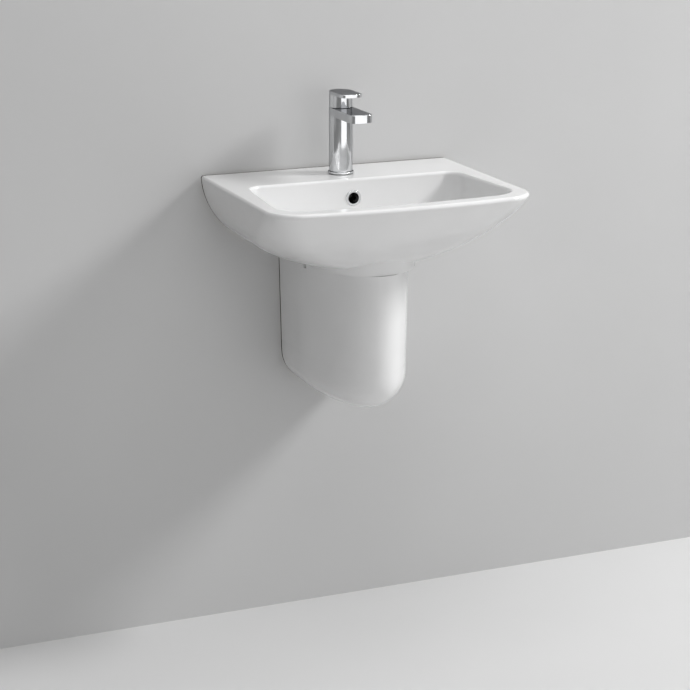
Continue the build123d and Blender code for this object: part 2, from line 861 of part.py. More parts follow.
with BuildPart() as aerator_insert:
    with BuildSketch(tap_level(aerator_foot + aerator_proud)):
        with Locations((0, -aerator_setback)):
            Circle(aerator_bore)
            Circle(aerator_hole_radius, mode=Mode.SUBTRACT)
            with PolarLocations(aerator_ring_radius, aerator_ring_holes):
                Circle(aerator_hole_radius, mode=Mode.SUBTRACT)
            with PolarLocations(aerator_ring_radius / 2, aerator_ring_holes // 2):
                Circle(aerator_hole_radius, mode=Mode.SUBTRACT)
    extrude(amount=aerator_insert_height)
aerator_insert.part.label = "aerator_insert"
export_step(aerator_insert.part, "parts/aerator_insert.step")


def port_places():
    """Hot and cold ports in front, mixed water behind."""
    return [
        (-inlet_spacing / 2, -inlet_offset),
        (inlet_spacing / 2, -inlet_offset),
        (0, outlet_port_offset),
    ]


def ported_disc(height, radius):
    """Disc with the three water ports."""
    with BuildSketch(tap_level(height)) as face:
        Circle(radius)
        with Locations(*port_places()):
            Circle(port_radius, mode=Mode.SUBTRACT)
    return face.sketch


# Cartridge: seal, base, housing, fixed disc, moving disc, rotor, pivot pin and stem
base_level = pocket_floor + cartridge_seal_height
disc_level = base_level + cartridge_base_height
slide_level = disc_level + fixed_disc_height + disc_gap
chamber_roof = slide_level + moving_disc_height + disc_gap
rotor_top = chamber_roof + rotor_roof
housing_bore = rotor_radius + running_gap
pivot_height = tap_height - pivot_below_top
ball_height = pivot_height - stem_arm
with BuildPart() as cartridge_seal:
    extrude(ported_disc(pocket_floor, cartridge_seal_radius), amount=cartridge_seal_height)
cartridge_seal.part.label = "cartridge_seal"
export_step(cartridge_seal.part, "parts/cartridge_seal.step")

with BuildPart() as cartridge_base:
    extrude(ported_disc(base_level, housing_bore), amount=cartridge_base_height)
cartridge_base.part.label = "cartridge_base"
export_step(cartridge_base.part, "parts/cartridge_base.step")

with BuildPart() as cartridge_housing:
    extrude(
        annulus(tap_level(base_level), cartridge_radius, housing_bore),
        amount=rotor_top + disc_gap - base_level,
    )
    extrude(
        annulus(tap_level(rotor_top + disc_gap), cartridge_radius, neck_radius + neck_gap),
        amount=nut_seat - rotor_top - disc_gap,
    )
    extrude(
        annulus(tap_level(nut_seat - cartridge_collar_height), cartridge_collar_radius, cartridge_radius),
        amount=cartridge_collar_height,
    )
cartridge_housing.part.label = "cartridge_housing"
export_step(cartridge_housing.part, "parts/cartridge_housing.step")

with BuildPart() as fixed_disc:
    extrude(ported_disc(disc_level, housing_bore), amount=fixed_disc_height)
fixed_disc.part.label = "fixed_disc"
export_step(fixed_disc.part, "parts/fixed_disc.step")

with BuildPart() as moving_disc:
    extrude(disc(tap_level(slide_level), moving_disc_radius), amount=moving_disc_height)
    with BuildSketch(tap_level(slide_level + moving_disc_height - disc_socket_depth)):
        Rectangle(disc_socket, disc_socket)
    extrude(amount=disc_socket_depth, mode=Mode.SUBTRACT)
moving_disc.part.label = "moving_disc"
export_step(moving_disc.part, "parts/moving_disc.step")

with BuildPart() as cartridge_rotor:
    extrude(disc(tap_level(slide_level), rotor_radius), amount=rotor_top - slide_level)
    extrude(disc(tap_level(rotor_top), neck_radius), amount=neck_height)
    extrude(
        disc(tap_level(slide_level), rotor_chamber_radius),
        amount=chamber_roof - slide_level,
        mode=Mode.SUBTRACT,
    )
    with BuildSketch(tap_level(chamber_roof)):
        Rectangle(stem_side + 2 * stem_gap, rotor_slot_length)
    extrude(amount=rotor_roof + neck_height, mode=Mode.SUBTRACT)
    with BuildSketch(tap_side()):
        with Locations((0, pivot_height)):
            Circle(pivot_radius)
    extrude(amount=neck_radius, both=True, mode=Mode.SUBTRACT)
cartridge_rotor.part.label = "cartridge_rotor"
export_step(cartridge_rotor.part, "parts/cartridge_rotor.step")

with BuildPart() as pivot_pin:
    with BuildSketch(tap_side()):
        with Locations((0, pivot_height)):
            Circle(pivot_radius)
    extrude(amount=pivot_pin_length / 2, both=True)
pivot_pin.part.label = "pivot_pin"
export_step(pivot_pin.part, "parts/pivot_pin.step")

hub_ceiling = lever_top - lever_thickness - hub_roof
boss_foot = hub_ceiling - boss_height
stem_foot = ball_height + stem_neck_length
with BuildPart() as lever_stem:
    with BuildSketch(tap_level(stem_foot)):
        Rectangle(stem_side, stem_side)
    extrude(amount=boss_foot + socket_depth - stem_foot)
    extrude(disc(tap_level(ball_height), stem_neck_radius), amount=stem_neck_length)
    with Locations((0, -tap_setback, rim_z + ball_height)):
        Sphere(stem_ball_radius)
    with BuildSketch(tap_side()):
        with Locations((0, pivot_height)):
            Circle(pivot_radius + running_gap)
    extrude(amount=stem_side, both=True, mode=Mode.SUBTRACT)
lever_stem.part.label = "lever_stem"
export_step(lever_stem.part, "parts/lever_stem.step")

# Ring nut over the cartridge and the bonnet ring on it
nut_top = nut_seat + ring_nut_height
with BuildPart() as ring_nut:
    extrude(annulus(tap_level(nut_seat), nut_seat_radius, ring_nut_bore), amount=ring_nut_height)
    with BuildSketch(tap_level(nut_top - ring_nut_height / 2)):
        Rectangle(2 * nut_seat_radius, ring_nut_slot)
    extrude(amount=ring_nut_height / 2, mode=Mode.SUBTRACT)
ring_nut.part.label = "ring_nut"
export_step(ring_nut.part, "parts/ring_nut.step")

with BuildPart() as bonnet_ring:
    extrude(disc(tap_level(nut_top), bonnet_radius), amount=bonnet_height)
    fillet(bonnet_ring.faces().sort_by(Axis.Z)[-1].edges(), bonnet_height / 2)
    extrude(disc(tap_level(nut_top), bonnet_bore), amount=bonnet_height, mode=Mode.SUBTRACT)
bonnet_ring.part.label = "bonnet_ring"
export_step(bonnet_ring.part, "parts/bonnet_ring.step")

# Lever: hub, cut away underneath at the back so that it can tilt, and the plate over it
hub_foot = tap_height + lever_gap
plate_foot = lever_top - lever_thickness
lift_sine = math.sin(math.radians(lever_lift))
lift_cosine = math.cos(math.radians(lever_lift))
free_height = pivot_below_top + lever_clearance
relief_start = ((hub_foot - pivot_height) * lift_cosine - free_height) / lift_sine
relief_end = 2 * hub_radius
relief_rise = (free_height + relief_end * lift_sine) / lift_cosine
with BuildPart() as lever:
    extrude(disc(tap_level(hub_foot), hub_radius), amount=plate_foot - hub_foot)
    with BuildSketch(tap_level(plate_foot)) as plate_plan:
        with BuildLine():
            Line((hub_radius, 0), (hub_radius, lever_tip_bow - lever_reach))
            ThreePointArc(
                (hub_radius, lever_tip_bow - lever_reach),
                (0, -lever_reach),
                (-hub_radius, lever_tip_bow - lever_reach),
            )
            Line((-hub_radius, lever_tip_bow - lever_reach), (-hub_radius, 0))
            Line((-hub_radius, 0), (hub_radius, 0))
        make_face()
        fillet(plate_plan.vertices().group_by(Axis.Y)[0], lever_corner)
        Circle(hub_radius)
    extrude(amount=lever_thickness)
    fillet(lever.faces().sort_by(Axis.Z)[-1].edges(), lever_edge)
    extrude(
        annulus(tap_level(hub_foot), hub_bore, boss_radius),
        amount=hub_ceiling - hub_foot,
        mode=Mode.SUBTRACT,
    )
    extrude(disc(tap_level(hub_foot), boss_radius), amount=boss_foot - hub_foot, mode=Mode.SUBTRACT)
    with BuildSketch(tap_level(boss_foot)):
        Rectangle(stem_side, stem_side)
    extrude(amount=socket_depth, mode=Mode.SUBTRACT)
    with BuildSketch(tap_side()):
        with BuildLine():
            Polyline(
                (relief_start, hub_foot),
                (relief_end, pivot_height + relief_rise),
                (relief_end, hub_foot),
                close=True,
            )
        make_face()
    extrude(amount=hub_radius, both=True, mode=Mode.SUBTRACT)
    extrude(disc(grub_plane(0), grub_radius), amount=boss_radius, mode=Mode.SUBTRACT)
    extrude(
        disc(grub_plane((hub_bore + boss_radius) / 2), hole_plug_radius),
        amount=hub_radius,
        mode=Mode.SUBTRACT,
    )
lever.part.label = "lever"
export_step(lever.part, "parts/lever.step")

with BuildPart() as lever_grub_screw:
    extrude(disc(grub_plane(stem_side / 2), grub_radius), amount=grub_length)
lever_grub_screw.part.label = "lever_grub_screw"
export_step(lever_grub_screw.part, "parts/lever_grub_screw.step")

with BuildPart() as lever_hole_plug:
    extrude(disc(grub_plane(hub_bore), hole_plug_radius), amount=hub_radius - hub_bore)
lever_hole_plug.part.label = "lever_hole_plug"
export_step(lever_hole_plug.part, "parts/lever_hole_plug.step")


def horseshoe(height):
    """Clamp outline under the deck: open in front for the water tails, with the stud's hole behind."""
    with BuildSketch(tap_level(height)) as face:
        Circle(horseshoe_radius)
        with Locations((0, horseshoe_slot_end)):
            Rectangle(
                2 * horseshoe_slot_half,
                2 * horseshoe_radius,
                align=(Align.CENTER, Align.MAX),
                mode=Mode.SUBTRACT,
            )
        with Locations((0, stud_offset)):
            Circle(stud_radius + stud_clearance, mode=Mode.SUBTRACT)
    return face.sketch


# Clamp under the deck: gasket, plate, stud and nut
gasket_foot = -deck_thickness - gasket_thickness
plate_foot_height = gasket_foot - plate_thickness
with BuildPart() as clamp_gasket:
    extrude(horseshoe(gasket_foot), amount=gasket_thickness)
clamp_gasket.part.label = "clamp_gasket"
export_step(clamp_gasket.part, "parts/clamp_gasket.step")

with BuildPart() as clamp_plate:
    extrude(horseshoe(plate_foot_height), amount=plate_thickness)
clamp_plate.part.label = "clamp_plate"
export_step(clamp_plate.part, "parts/clamp_plate.step")

with BuildPart() as clamp_stud:
    with BuildSketch(tap_level(stud_hold - shank_length)):
        with Locations((0, stud_offset)):
            Circle(stud_radius)
    extrude(amount=-stud_length)
clamp_stud.part.label = "clamp_stud"
export_step(clamp_stud.part, "parts/clamp_stud.step")

with BuildPart() as clamp_nut:
    with BuildSketch(tap_level(plate_foot_height)):
        with Locations((0, stud_offset)):
            RegularPolygon(stud_nut_flats / 2, 6, major_radius=False)
            Circle(stud_radius, mode=Mode.SUBTRACT)
    extrude(amount=-stud_nut_height)
clamp_nut.part.label = "clamp_nut"
export_step(clamp_nut.part, "parts/clamp_nut.step")

# Waste: seal and body in the bowl's seat, with a bridge across its bore and windows to the overflow's duct
flange_foot = seat_z + waste_seal_height
flange_top = flange_foot + waste_flange_height
tail_end = flange_foot - waste_tail_length
bridge_foot = seat_z - bridge_drop - bridge_height
with BuildPart() as waste_top_seal:
    extrude(annulus(waste_level(seat_z), waste_flange_radius, waste_tail_radius), amount=waste_seal_height)
waste_top_seal.part.label = "waste_top_seal"
export_step(waste_top_seal.part, "parts/waste_top_seal.step")

with BuildPart() as waste_body:
    extrude(disc(waste_level(flange_foot), waste_flange_radius), amount=waste_flange_height)
    fillet(waste_body.faces().sort_by(Axis.Z)[-1].edges(), waste_flange_height / 2)
    extrude(disc(waste_level(tail_end), waste_tail_radius), amount=waste_tail_length)
    extrude(
        disc(waste_level(tail_end), waste_bore_radius),
        amount=waste_tail_length + waste_flange_height,
        mode=Mode.SUBTRACT,
    )
    with BuildSketch(waste_level(bridge_foot)):
        Rectangle(2 * (waste_bore_radius + bridge_root), bridge_width)
        Circle(bridge_hub_radius)
        Circle(click_radius, mode=Mode.SUBTRACT)
    extrude(amount=bridge_height)
    with BuildSketch(waste_front(duct_low_z + duct_outlet_height / 2)):
        Rectangle(overflow_window, duct_outlet_height)
    extrude(amount=waste_flange_radius, both=True, mode=Mode.SUBTRACT)
waste_body.part.label = "waste_body"
export_step(waste_body.part, "parts/waste_body.step")

with BuildPart() as waste_lower_seal:
    extrude(
        annulus(waste_level(floor_underside_z - lower_seal_height), lower_seal_radius, waste_tail_radius),
        amount=lower_seal_height,
    )
waste_lower_seal.part.label = "waste_lower_seal"
export_step(waste_lower_seal.part, "parts/waste_lower_seal.step")

back_nut_foot = floor_underside_z - lower_seal_height - back_nut_height
with BuildPart() as waste_back_nut:
    extrude(
        nut_face(waste_level(back_nut_foot), back_nut_radius, back_nut_sides, waste_tail_radius),
        amount=back_nut_height,
    )
waste_back_nut.part.label = "waste_back_nut"
export_step(waste_back_nut.part, "parts/waste_back_nut.step")

# Click plug: latch housing in the bridge, and the stem, cap and seal that travel
click_foot = bridge_foot - click_below_bridge
plug_foot = flange_top + plug_closed_gap + plug_travel
with BuildPart() as click_housing:
    extrude(disc(waste_level(click_foot), click_radius), amount=click_height)
    extrude(
        disc(waste_level(click_foot + click_floor), plug_stem_radius + running_gap),
        amount=click_height,
        mode=Mode.SUBTRACT,
    )
click_housing.part.label = "click_housing"
export_step(click_housing.part, "parts/click_housing.step")

with BuildPart() as plug_stem:
    extrude(
        disc(waste_level(plug_foot + plug_stem_hold - plug_stem_length), plug_stem_radius),
        amount=plug_stem_length,
    )
plug_stem.part.label = "plug_stem"
export_step(plug_stem.part, "parts/plug_stem.step")

with BuildPart() as plug_cap:
    with BuildSketch(waste_front(plug_foot)):
        with BuildLine():
            Line((0, 0), (plug_cap_radius - plug_cap_edge / 2, 0))
            Line((plug_cap_radius - plug_cap_edge / 2, 0), (plug_cap_radius, plug_cap_edge / 2))
            Line((plug_cap_radius, plug_cap_edge / 2), (plug_cap_radius, plug_cap_edge))
            Bezier(
                (plug_cap_radius, plug_cap_edge),
                (plug_cap_radius * plug_crown_share, plug_cap_edge + plug_crown),
                (0, plug_cap_edge + plug_crown),
            )
            Line((0, plug_cap_edge + plug_crown), (0, 0))
        make_face()
    revolve(axis=Axis((0, -waste_setback, 0), (0, 0, 1)))
    extrude(disc(waste_level(plug_foot), plug_stem_radius), amount=plug_stem_hold, mode=Mode.SUBTRACT)
    with Locations((0, -waste_setback, plug_foot + plug_seal_section - plug_seal_proud)):
        Torus(plug_seal_radius, plug_seal_section, mode=Mode.SUBTRACT)
plug_cap.part.label = "plug_cap"
export_step(plug_cap.part, "parts/plug_cap.step")

with BuildPart() as plug_seal:
    with Locations((0, -waste_setback, plug_foot + plug_seal_section - plug_seal_proud)):
        Torus(plug_seal_radius, plug_seal_section)
plug_seal.part.label = "plug_seal"
export_step(plug_seal.part, "parts/plug_seal.step")

# Trap inlet: washer under the tail, dip tube hung by its flange, and the nut that holds them
dip_top = tail_end - trap_washer_height
dip_shoulder = dip_top - dip_flange_height
with BuildPart() as trap_inlet_washer:
    extrude(annulus(waste_level(dip_top), dip_flange_radius, waste_bore_radius), amount=trap_washer_height)
trap_inlet_washer.part.label = "trap_inlet_washer"
export_step(trap_inlet_washer.part, "parts/trap_inlet_washer.step")

with BuildPart() as trap_dip_tube:
    extrude(disc(waste_level(dip_shoulder), dip_flange_radius), amount=dip_flange_height)
    extrude(disc(waste_level(dip_top - dip_length), dip_radius), amount=dip_length - dip_flange_height)
    extrude(
        disc(waste_level(dip_top - dip_length), dip_radius - dip_wall),
        amount=dip_length,
        mode=Mode.SUBTRACT,
    )
trap_dip_tube.part.label = "trap_dip_tube"
export_step(trap_dip_tube.part, "parts/trap_dip_tube.step")

with BuildPart() as trap_inlet_nut:
    extrude(
        nut_face(waste_level(dip_shoulder), trap_nut_radius, trap_nut_sides, waste_tail_radius),
        amount=tail_end + inlet_nut_overlap - dip_shoulder,
    )
    extrude(
        nut_face(waste_level(dip_shoulder), trap_nut_radius, trap_nut_sides, dip_radius + dip_gap),
        amount=-trap_nut_lip,
    )
trap_inlet_nut.part.label = "trap_inlet_nut"
export_step(trap_inlet_nut.part, "parts/trap_inlet_nut.step")

# Trap body: bottle with a neck for the dip tube and a branch to the wall
trap_top = tail_end - trap_drop
neck_top = trap_top + trap_neck_height
body_foot = trap_top - trap_body_height
branch_z = trap_top - branch_drop
branch_end = waste_setback - branch_length
pipe_bore = pipe_radius + pipe_gap


def branch_plane(distance_from_wall):
    """Plane across the branch's axis, facing the wall."""
    return Plane((0, -distance_from_wall, branch_z), x_dir=(-1, 0, 0), z_dir=(0, 1, 0))


with BuildPart() as trap_body:
    extrude(disc(waste_level(body_foot), trap_body_radius), amount=trap_body_height)
    extrude(disc(waste_level(trap_top), trap_neck_radius), amount=trap_neck_height)
    extrude(disc(branch_plane(waste_setback), branch_radius), amount=branch_length)
    extrude(
        disc(waste_level(body_foot), trap_body_radius - trap_wall),
        amount=trap_body_height - trap_wall,
        mode=Mode.SUBTRACT,
    )
    extrude(
        disc(waste_level(body_foot), dip_radius + dip_gap),
        amount=neck_top - body_foot,
        mode=Mode.SUBTRACT,
    )
    extrude(
        disc(waste_level(neck_top - trap_seal_height), trap_seal_radius),
        amount=trap_seal_height,
        mode=Mode.SUBTRACT,
    )
    extrude(disc(branch_plane(waste_setback), branch_bore), amount=branch_length, mode=Mode.SUBTRACT)
    extrude(disc(branch_plane(branch_end + pipe_socket), pipe_bore), amount=pipe_socket, mode=Mode.SUBTRACT)
trap_body.part.label = "trap_body"
export_step(trap_body.part, "parts/trap_body.step")

with BuildPart() as trap_top_seal:
    extrude(
        annulus(waste_level(neck_top - trap_seal_height), trap_seal_radius, dip_radius),
        amount=trap_seal_height,
    )
trap_top_seal.part.label = "trap_top_seal"
export_step(trap_top_seal.part, "parts/trap_top_seal.step")

with BuildPart() as trap_top_nut:
    extrude(
        nut_face(
            waste_level(neck_top - top_nut_overlap),
            trap_nut_radius,
            trap_nut_sides,
            trap_neck_radius,
        ),
        amount=top_nut_overlap,
    )
    extrude(
        nut_face(waste_level(neck_top), trap_nut_radius, trap_nut_sides, dip_radius + dip_gap),
        amount=trap_nut_lip,
    )
trap_top_nut.part.label = "trap_top_nut"
export_step(trap_top_nut.part, "parts/trap_top_nut.step")

with BuildPart() as trap_outlet_seal:
    extrude(annulus(branch_plane(branch_end), branch_radius, pipe_bore), amount=trap_seal_height)
trap_outlet_seal.part.label = "trap_outlet_seal"
export_step(trap_outlet_seal.part, "parts/trap_outlet_seal.step")

with BuildPart() as trap_outlet_nut:
    extrude(
        nut_face(
            branch_plane(branch_end + outlet_nut_overlap),
            outlet_nut_radius,
            trap_nut_sides,
            branch_radius,
        ),
        amount=outlet_nut_overlap + trap_seal_height,
    )
    extrude(
        nut_face(branch_plane(branch_end - trap_seal_height), outlet_nut_radius, trap_nut_sides, pipe_bore),
        amount=trap_nut_lip,
    )
trap_outlet_nut.part.label = "trap_outlet_nut"
export_step(trap_outlet_nut.part, "parts/trap_outlet_nut.step")

# Trap cup: screwed on from below against its seal, with finger grooves outside
cup_top = body_foot + cup_overlap
cup_foot = cup_top - cup_height
cup_step = body_foot - cup_seal_height
with BuildPart() as trap_cup_seal:
    extrude(annulus(waste_level(cup_step), trap_body_radius, cup_bore), amount=cup_seal_height)
trap_cup_seal.part.label = "trap_cup_seal"
export_step(trap_cup_seal.part, "parts/trap_cup_seal.step")

with BuildPart() as trap_cup:
    extrude(disc(waste_level(cup_foot), cup_radius), amount=cup_height)
    fillet(trap_cup.faces().sort_by(Axis.Z)[0].edges(), cup_corner)
    extrude(disc(waste_level(cup_foot + cup_floor), cup_bore), amount=cup_height, mode=Mode.SUBTRACT)
    extrude(disc(waste_level(cup_step), trap_body_radius), amount=cup_height, mode=Mode.SUBTRACT)
    with BuildSketch(waste_level(cup_foot + cup_corner)):
        with PolarLocations(cup_radius, cup_grip_count):
            Rectangle(2 * cup_grip_depth, cup_grip_width)
    extrude(amount=cup_height - 2 * cup_corner, mode=Mode.SUBTRACT)
trap_cup.part.label = "trap_cup"
export_step(trap_cup.part, "parts/trap_cup.step")
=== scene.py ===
import math

import bmesh
import bpy
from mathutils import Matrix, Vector, geometry


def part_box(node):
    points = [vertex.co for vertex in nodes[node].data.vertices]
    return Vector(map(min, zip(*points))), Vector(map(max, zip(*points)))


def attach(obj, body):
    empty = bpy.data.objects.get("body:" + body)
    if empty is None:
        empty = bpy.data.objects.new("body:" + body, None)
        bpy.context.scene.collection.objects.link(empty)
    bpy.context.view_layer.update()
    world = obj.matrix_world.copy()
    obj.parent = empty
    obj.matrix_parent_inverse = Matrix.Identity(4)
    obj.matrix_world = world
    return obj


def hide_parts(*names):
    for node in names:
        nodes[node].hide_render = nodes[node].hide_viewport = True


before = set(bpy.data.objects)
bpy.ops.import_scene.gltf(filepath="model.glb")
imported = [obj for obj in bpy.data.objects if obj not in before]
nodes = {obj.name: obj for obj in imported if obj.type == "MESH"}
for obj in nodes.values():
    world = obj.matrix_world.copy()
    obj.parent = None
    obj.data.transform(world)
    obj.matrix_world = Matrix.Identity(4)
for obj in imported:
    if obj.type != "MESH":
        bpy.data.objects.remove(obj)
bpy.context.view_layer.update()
scene = bpy.context.scene
scene.view_settings.view_transform = "Standard"

# Directions
X_AXIS = Vector((1, 0, 0))
Y_AXIS = Vector((0, 1, 0))
Z_AXIS = Vector((0, 0, 1))

# Stage, in metres
FLOOR_Z = -0.798
WALL_Y = 0.005
STAGE_HALF = 6.0
STAGE_DEPTH = 7.0
STAGE_TOP = 4.0

# Paint of the stage
FLOOR_SHADE = 0.65
FLOOR_ROUGHNESS = 0.7
WALL_SHADE = 0.57
WALL_ROUGHNESS = 0.85
# Tone of the painted shadow in the gap round the object's back
GAP_SHADOW_TONE = 0.02
PAINT_MOTTLE = 0.01

# The wall's opening behind the object, and the dark sheet of painted shadow in front of it, in metres
BACK_DEPTH = 0.0006
SHELL_FOOT = -0.060
OPENING_INSET = 0.004
GAP_SHADOW_INSET = 0.0003
GAP_SHADOW_LIFT = 0.0005

# Light
WORLD_COLOUR = (0.80, 0.80, 0.80, 1)
WORLD_LIGHT = 0.24
WORLD_SHOWN = 0.70
FULL_SPREAD = 180
WASH_SPREAD = 70

# Camera at the photograph's place, in metres, with its lens and sensor in millimetres
CAMERA_PLACE = Vector((-1.35564, -3.39812, 0.77384))
CAMERA_FORWARD = Vector((0.36486, 0.88987, -0.27389))
CAMERA_LENS = 101.77
SENSOR_WIDTH = 36.0

# A length beyond any point of the part, in metres
FAR = 1.0

# Parts of the ceramic that differ from its white glaze: the overflow duct, painted near black as shade, and
# the bare back, in metres
DUCT_SHADOW_LOW = (-0.0142, -0.1212, -0.0475)
DUCT_SHADOW_HIGH = (0.0142, -0.1085, 0.0625)
DUCT_SHADOW_FADE = 0.0008
BARE_LOW = (-FAR, -0.0006, -FAR)
BARE_HIGH = (FAR, 0.001, FAR)
BARE_FADE = 0.0006

# Grain of the materials: how far the noise is scaled along each axis
EVEN = (1, 1, 1)
HAIRLINES = (1, 1, 0.05)
SATIN_LINES = (1, 1, 0.03)
TURNED_LINES = (0.1, 0.1, 1)
TOOL_MARKS = (0.05, 0.05, 1)

# Where a tint's ramp starts and ends, and how many radians a unit of Blender's wave texture has
RAMP_START = 0.3
RAMP_END = 0.7
WAVE_RADIANS = 20

# Threads, in metres. A thread is its depth of cut and its pitch
RING_POINTS = 36
RINGS_PER_TURN = 8
PLAIN = (0.0, 1.0)
BOLT_THREAD = (0.0008, 0.0015)
SCREW_THREAD = (0.0011, 0.0036)
STUD_CUT = 0.00065
STUD_THREAD = (STUD_CUT, 0.00125)
TAIL_PITCH = 0.002
TAIL_FADE = 0.0005
GRUB_PITCH = 0.0008

# Hanger bolts: the object's back, shares of the screw's radius, and lengths in metres
BACK_Y = 0.0
SHANK_SHARE = 0.91
TIP_SHARE = 1 / 3
SCREW_TIP = 0.008
SCREW_RUNOUT = 0.006
BOLT_CHAMFER = 0.001


# Material helpers

def material(name):
    """A new node material: the material, its node tree and its main shader."""
    mat = bpy.data.materials.new(name)
    mat.use_nodes = True
    tree = mat.node_tree
    return mat, tree, tree.nodes["Principled BSDF"]


def grey(shade):
    """A neutral colour."""
    return (shade, shade, shade)


def noise(tree, scale, detail=2.0, stretch=EVEN):
    """Noise over the row frame, scale in cycles per metre along each axis."""
    place = tree.nodes.new("ShaderNodeTexCoord")
    sizes = tree.nodes.new("ShaderNodeMapping")
    sizes.inputs["Scale"].default_value = stretch
    cloud = tree.nodes.new("ShaderNodeTexNoise")
    cloud.inputs["Scale"].default_value = scale
    cloud.inputs["Detail"].default_value = detail
    tree.links.new(place.outputs["Object"], sizes.inputs["Vector"])
    tree.links.new(sizes.outputs["Vector"], cloud.inputs["Vector"])
    return cloud.outputs["Fac"]


def bands(tree, direction, pitch):
    """Wave bands along one axis, for a thread of a given pitch in metres."""
    place = tree.nodes.new("ShaderNodeTexCoord")
    wave = tree.nodes.new("ShaderNodeTexWave")
    wave.wave_type = "BANDS"
    wave.bands_direction = direction
    wave.wave_profile = "TRI"
    wave.inputs["Scale"].default_value = math.tau / (WAVE_RADIANS * pitch)
    wave.inputs["Distortion"].default_value = 0.0
    tree.links.new(place.outputs["Object"], wave.inputs["Vector"])
    return wave.outputs["Fac"]


def product(tree, first, second):
    """Two values multiplied."""
    node = tree.nodes.new("ShaderNodeMath")
    node.operation = "MULTIPLY"
    tree.links.new(first, node.inputs[0])
    tree.links.new(second, node.inputs[1])
    return node.outputs["Value"]


def inside(tree, low, high, soft):
    """Mask that is 1 inside a box in the row frame and fades to 0 outside it."""
    place = tree.nodes.new("ShaderNodeTexCoord")
    split = tree.nodes.new("ShaderNodeSeparateXYZ")
    tree.links.new(place.outputs["Object"], split.inputs["Vector"])
    mask = None
    for axis, start, end in zip("XYZ", low, high):
        for edge, direction in ((start, 1), (end, -1)):
            fade = tree.nodes.new("ShaderNodeMapRange")
            fade.inputs["From Min"].default_value = edge - direction * soft
            fade.inputs["From Max"].default_value = edge
            tree.links.new(split.outputs[axis], fade.inputs["Value"])
            side = fade.outputs["Result"]
            mask = product(tree, mask, side) if mask else side
    return mask


def tint(tree, shader, factor, low, high):
    """Base colour that runs between two tints."""
    ramp = tree.nodes.new("ShaderNodeValToRGB")
    first, last = ramp.color_ramp.elements
    first.position = RAMP_START
    last.position = RAMP_END
    first.color = (*low, 1)
    last.color = (*high, 1)
    tree.links.new(factor, ramp.inputs["Fac"])
    tree.links.new(ramp.outputs["Color"], shader.inputs["Base Color"])


def roughen(tree, shader, factor, low, high):
    """Roughness that runs between two values."""
    span = tree.nodes.new("ShaderNodeMapRange")
    span.inputs["To Min"].default_value = low
    span.inputs["To Max"].default_value = high
    tree.links.new(factor, span.inputs["Value"])
    tree.links.new(span.outputs["Result"], shader.inputs["Roughness"])


def bump(tree, shader, factor, height, strength=1.0):
    """Bump of a given height in metres."""
    node = tree.nodes.new("ShaderNodeBump")
    node.inputs["Distance"].default_value = height
    node.inputs["Strength"].default_value = strength
    tree.links.new(factor, node.inputs["Height"])
    tree.links.new(node.outputs["Normal"], shader.inputs["Normal"])


def replace_where(tree, shader, socket, kind, mask, value):
    """One of the shader's linked inputs, replaced by a fixed value where a mask is 1."""
    plain = shader.inputs[socket].links[0].from_socket
    mix = tree.nodes.new("ShaderNodeMix")
    mix.data_type = kind
    mix.inputs["B"].default_value = value
    tree.links.new(mask, mix.inputs["Factor"])
    tree.links.new(plain, mix.inputs["A"])
    tree.links.new(mix.outputs["Result"], shader.inputs[socket])


def recolour(tree, shader, mask, colour):
    """Base colour replaced by another where a mask is 1."""
    replace_where(tree, shader, "Base Color", "RGBA", mask, (*colour, 1))


def dull(tree, shader, mask, roughness):
    """Roughness replaced by another where a mask is 1."""
    replace_where(tree, shader, "Roughness", "FLOAT", mask, roughness)


def metal(name, low, high, cloud, grain, smooth, rough, detail=2.0, stretch=EVEN):
    """Metal with a clouded tone, and a roughness that follows a finer grain."""
    mat, tree, shader = material(name)
    shader.inputs["Metallic"].default_value = 1.0
    tint(tree, shader, noise(tree, cloud, detail), low, high)
    roughen(tree, shader, noise(tree, grain, detail=3.0, stretch=stretch), smooth, rough)
    return mat, tree, shader


def zinc(name):
    """Zinc-plated steel."""
    return metal(
        name,
        low=(0.46, 0.47, 0.48),
        high=(0.62, 0.63, 0.64),
        cloud=220.0,
        detail=5.0,
        grain=500.0,
        smooth=0.28,
        rough=0.46,
    )


def plastic(name, low, high, smooth, rough, grain):
    """Moulded plastic with a fine grain, its height in metres."""
    mat, tree, shader = material(name)
    tint(tree, shader, noise(tree, scale=40.0, detail=3.0), low, high)
    roughen(tree, shader, noise(tree, scale=300.0, detail=3.0), smooth, rough)
    bump(tree, shader, noise(tree, scale=1800.0), grain)
    return mat


def paint(mat, *names):
    """Gives CAD nodes a material."""
    for name in names:
        node = nodes[name]
        node.data.materials.clear()
        node.data.materials.append(mat)


# Glazed ceramic: white, with the faint waviness and tone of a fired glaze,
# painted shade inside the overflow's duct, and bare at the back
glaze, tree, shader = material("white_glaze")
tint(tree, shader, noise(tree, scale=9.0), low=grey(0.78), high=grey(0.81))
# Painted shade: the inside of the overflow's duct is coloured near black
recolour(tree, shader, inside(tree, DUCT_SHADOW_LOW, DUCT_SHADOW_HIGH, DUCT_SHADOW_FADE), grey(0.012))
bare = inside(tree, BARE_LOW, BARE_HIGH, BARE_FADE)
recolour(tree, shader, bare, (0.62, 0.59, 0.54))
roughen(tree, shader, noise(tree, scale=60.0), low=0.07, high=0.13)
dull(tree, shader, bare, roughness=0.75)
bump(tree, shader, noise(tree, scale=38.0), height=0.00012, strength=0.5)
shader.inputs["Coat Weight"].default_value = 0.35
shader.inputs["Coat Roughness"].default_value = 0.05
paint(glaze, "basin", "semi_pedestal")

# Polished chrome, with a slight haze and hairlines, darker where it is seen at a slant
chrome, _, shader = metal(
    "polished_chrome",
    low=(0.74, 0.75, 0.76),
    high=(0.80, 0.81, 0.82),
    cloud=70.0,
    grain=900.0,
    stretch=HAIRLINES,
    smooth=0.05,
    rough=0.11,
)
shader.inputs["Specular Tint"].default_value = (0.34, 0.34, 0.35, 1)
paint(chrome, "tap_body", "lever", "tap_base_ring", "overflow_ring", "lever_hole_plug", "plug_cap")

